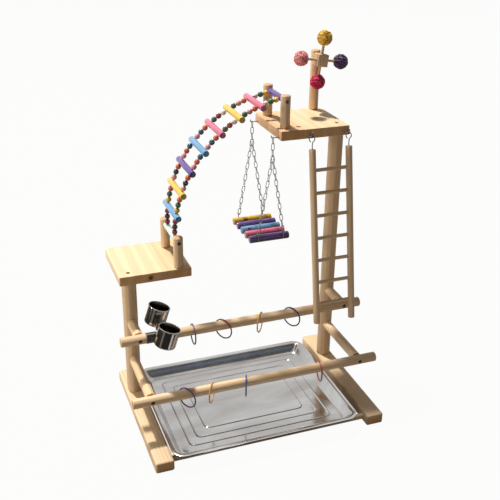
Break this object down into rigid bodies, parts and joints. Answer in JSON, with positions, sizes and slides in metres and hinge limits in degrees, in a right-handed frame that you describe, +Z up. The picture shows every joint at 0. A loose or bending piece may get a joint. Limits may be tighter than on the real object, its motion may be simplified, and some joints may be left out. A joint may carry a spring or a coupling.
{
  "type": "parrot play stand",
  "caption": "Wooden tabletop perch gym with decks, an arched bead bridge, chain swing, leaning ladder, spinner toy, rings, clip-on steel cups and a slide-out tray.",
  "frame": {"origin": "on the floor under the middle of the stand's bounding box", "axes": "+Z up, +X along the perches towards the tall post, +Y from the perches towards the bridge at the back"},
  "size_m": [0.5454, 0.3976, 0.7475],
  "materials": {
    "pine": "clear lacquered pine",
    "paint_purple": "gloss paint",
    "paint_pink": "gloss paint",
    "paint_yellow": "gloss paint",
    "paint_blue": "gloss paint",
    "paint_mint": "gloss paint",
    "paint_gold": "gloss paint",
    "paint_plum": "gloss paint",
    "bead_yellow": "gloss lacquer",
    "bead_green": "gloss lacquer",
    "bead_white": "gloss lacquer",
    "bead_orange": "gloss lacquer",
    "bead_pink": "gloss lacquer",
    "bead_red": "gloss lacquer",
    "bead_teal": "gloss lacquer",
    "bead_black": "gloss lacquer",
    "rattan_yellow": "dyed woven rattan",
    "rattan_pink": "dyed woven rattan",
    "rattan_purple": "dyed woven rattan",
    "rattan_crimson": "dyed woven rattan",
    "plastic_violet": "glossy",
    "plastic_red": "glossy",
    "plastic_gold": "glossy",
    "plastic_navy": "glossy",
    "plastic_blue": "glossy",
    "plastic_scarlet": "glossy",
    "cup_steel": "mirror polished stainless steel",
    "sheet_steel": "bright spring steel",
    "tray_steel": "bright rolled stainless steel",
    "wire_steel": "bright drawn wire",
    "screw_steel": "blackened"
  },
  "bodies": {
    "stand": {"arms": "pine", "beads_black": "bead_black", "beads_green": "bead_green", "beads_orange": "bead_orange", "beads_pink": "bead_pink", "beads_red": "bead_red", "beads_teal": "bead_teal", "beads_white": "bead_white", "beads_yellow": "bead_yellow", "bridge_pegs": "pine", "bridge_wires": "wire_steel", "deck_eyes": "wire_steel", "deck_side": "pine", "deck_top": "pine", "foot_left": "pine", "foot_right": "pine", "perch_lower": "pine", "perch_upper": "pine", "post_left": "pine", "post_right": "pine", "rungs_blue": "paint_blue", "rungs_mint": "paint_mint", "rungs_pink": "paint_pink", "rungs_purple": "paint_purple", "rungs_yellow": "paint_yellow", "screws": "screw_steel", "spinner_axle": "wire_steel", "spinner_spacer": "pine", "stretchers": "pine", "swing_hooks": "wire_steel", "toy_post": "pine"},
    "swing": {"swing_chains": "wire_steel", "seat_wires": "wire_steel", "seat_bar_blue": "paint_blue", "seat_bar_gold": "paint_gold", "seat_bar_pink": "paint_pink", "seat_bar_plum": "paint_plum", "seat_bar_purple": "paint_purple"},
    "ladder": {"ladder_eyes": "wire_steel", "ladder_rails": "pine", "ladder_rungs": "pine"},
    "spinner": {"spinner_hub": "pine", "spinner_sticks": "pine", "ball_crimson": "rattan_crimson", "ball_pink": "rattan_pink", "ball_purple": "rattan_purple", "ball_yellow": "rattan_yellow"},
    "front_cup": {"cup_front": "cup_steel", "clip_front": "sheet_steel"},
    "rear_cup": {"cup_rear": "cup_steel", "clip_rear": "sheet_steel"},
    "tray": {"tray": "tray_steel"},
    "ring_upper_violet": {"ring_upper_violet": "plastic_violet"},
    "ring_upper_red": {"ring_upper_red": "plastic_red"},
    "ring_upper_gold": {"ring_upper_gold": "plastic_gold"},
    "ring_upper_navy": {"ring_upper_navy": "plastic_navy"},
    "ring_lower_purple": {"ring_lower_purple": "plastic_violet"},
    "ring_lower_gold": {"ring_lower_gold": "plastic_gold"},
    "ring_lower_blue": {"ring_lower_blue": "plastic_blue"},
    "ring_lower_red": {"ring_lower_red": "plastic_scarlet"}
  },
  "joints": [
    {"name": "swing_swings", "type": "hinge", "parent": "stand", "child": "swing", "pos_m": [0.06976, 0.11825, 0.5615], "axis": [0, 1, 0], "range_deg": [-20, 30]},
    {"name": "ladder_lifts", "type": "hinge", "parent": "stand", "child": "ladder", "pos_m": [0.18552, 0.03725, 0.5623], "axis": [-1, 0, 0], "range_deg": [0, 60]},
    {"name": "spinner_turns", "type": "hinge", "parent": "stand", "child": "spinner", "pos_m": [0.21127, 0.15265, 0.686], "axis": [0, 1, 0], "continuous": true},
    {"name": "front_cup_tips", "type": "hinge", "parent": "stand", "child": "front_cup", "pos_m": [-0.18874, -0.01025, 0.192], "axis": [1, 0, 0], "range_deg": [-10, 40]},
    {"name": "rear_cup_tips", "type": "hinge", "parent": "stand", "child": "rear_cup", "pos_m": [-0.18874, -0.01025, 0.192], "axis": [1, 0, 0], "range_deg": [-25, 10]},
    {"name": "tray_slides", "type": "slide", "parent": "stand", "child": "tray", "axis": [0, -1, 0], "range_m": [-0.06, 0.28]},
    {"name": "ring_upper_violet_slides", "type": "slide", "parent": "stand", "child": "ring_upper_violet", "axis": [1, 0, 0], "range_m": [-0.02, 0.02]},
    {"name": "ring_upper_red_slides", "type": "slide", "parent": "stand", "child": "ring_upper_red", "axis": [1, 0, 0], "range_m": [-0.02, 0.02]},
    {"name": "ring_upper_gold_slides", "type": "slide", "parent": "stand", "child": "ring_upper_gold", "axis": [1, 0, 0], "range_m": [-0.02, 0.02]},
    {"name": "ring_upper_navy_slides", "type": "slide", "parent": "stand", "child": "ring_upper_navy", "axis": [1, 0, 0], "range_m": [-0.02, 0.02]},
    {"name": "ring_lower_purple_slides", "type": "slide", "parent": "stand", "child": "ring_lower_purple", "axis": [1, 0, 0], "range_m": [-0.01, 0.01]},
    {"name": "ring_lower_gold_slides", "type": "slide", "parent": "stand", "child": "ring_lower_gold", "axis": [1, 0, 0], "range_m": [-0.01, 0.01]},
    {"name": "ring_lower_blue_slides", "type": "slide", "parent": "stand", "child": "ring_lower_blue", "axis": [1, 0, 0], "range_m": [-0.01, 0.01]},
    {"name": "ring_lower_red_slides", "type": "slide", "parent": "stand", "child": "ring_lower_red", "axis": [1, 0, 0], "range_m": [-0.01, 0.01]}
  ]
}
